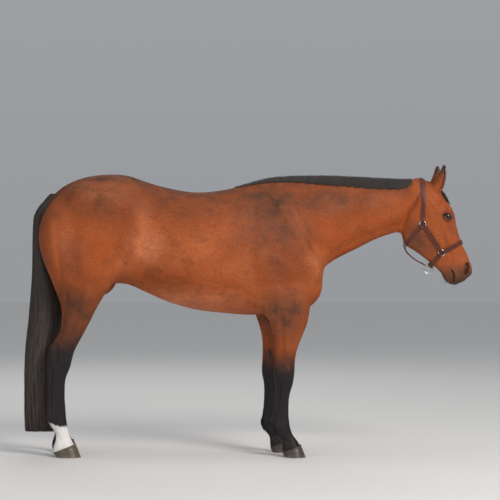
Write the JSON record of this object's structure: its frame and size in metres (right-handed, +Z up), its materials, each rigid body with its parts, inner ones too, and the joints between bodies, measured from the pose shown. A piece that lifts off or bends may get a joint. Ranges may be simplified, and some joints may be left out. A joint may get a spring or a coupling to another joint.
{
  "type": "horse",
  "caption": "Bay horse standing square, head lowered to neck height, ears forward, in a leather head collar with a lead ring.",
  "frame": {"origin": "on the floor, under the middle of the horse's box", "axes": "+X towards the head, -Y to the horse's right, +Z up"},
  "size_m": [2.5451, 0.5961, 1.6439],
  "materials": {
    "coat": "short reddish bay hair with a soft sheen",
    "black_points": "short black hair",
    "long_hair": "brown-black horse hair",
    "hoof_horn": "ringed grey-brown horn",
    "eyeball": "wet dark brown eye",
    "leather": "oiled dark red-brown strap leather",
    "steel": "polished steel"
  },
  "bodies": {
    "root": {"barrel": "coat", "cheek_fitting_left": "steel", "cheek_fitting_right": "steel", "cheekpiece_left": "leather", "cheekpiece_right": "leather", "chin_strap": "leather", "crown_strap": "leather", "ear_left": "coat", "ear_right": "coat", "eye_left": "eyeball", "eye_right": "eyeball", "fore_arm_left": "coat", "fore_arm_right": "coat", "fore_cannon_left": "black_points", "fore_cannon_right": "black_points", "fore_hoof_left": "hoof_horn", "fore_hoof_right": "hoof_horn", "forelock": "long_hair", "forequarters": "coat", "head": "coat", "hind_cannon_left": "black_points", "hind_cannon_right": "black_points", "hind_gaskin_left": "coat", "hind_gaskin_right": "coat", "hind_hoof_left": "hoof_horn", "hind_hoof_right": "hoof_horn", "hindquarters": "coat", "jaw_strap": "leather", "lead_ring": "steel", "mane": "long_hair", "neck": "coat", "nose_fitting_left": "steel", "nose_fitting_right": "steel", "noseband": "leather", "tail": "long_hair", "throat_strap": "leather"}
  },
  "joints": []
}
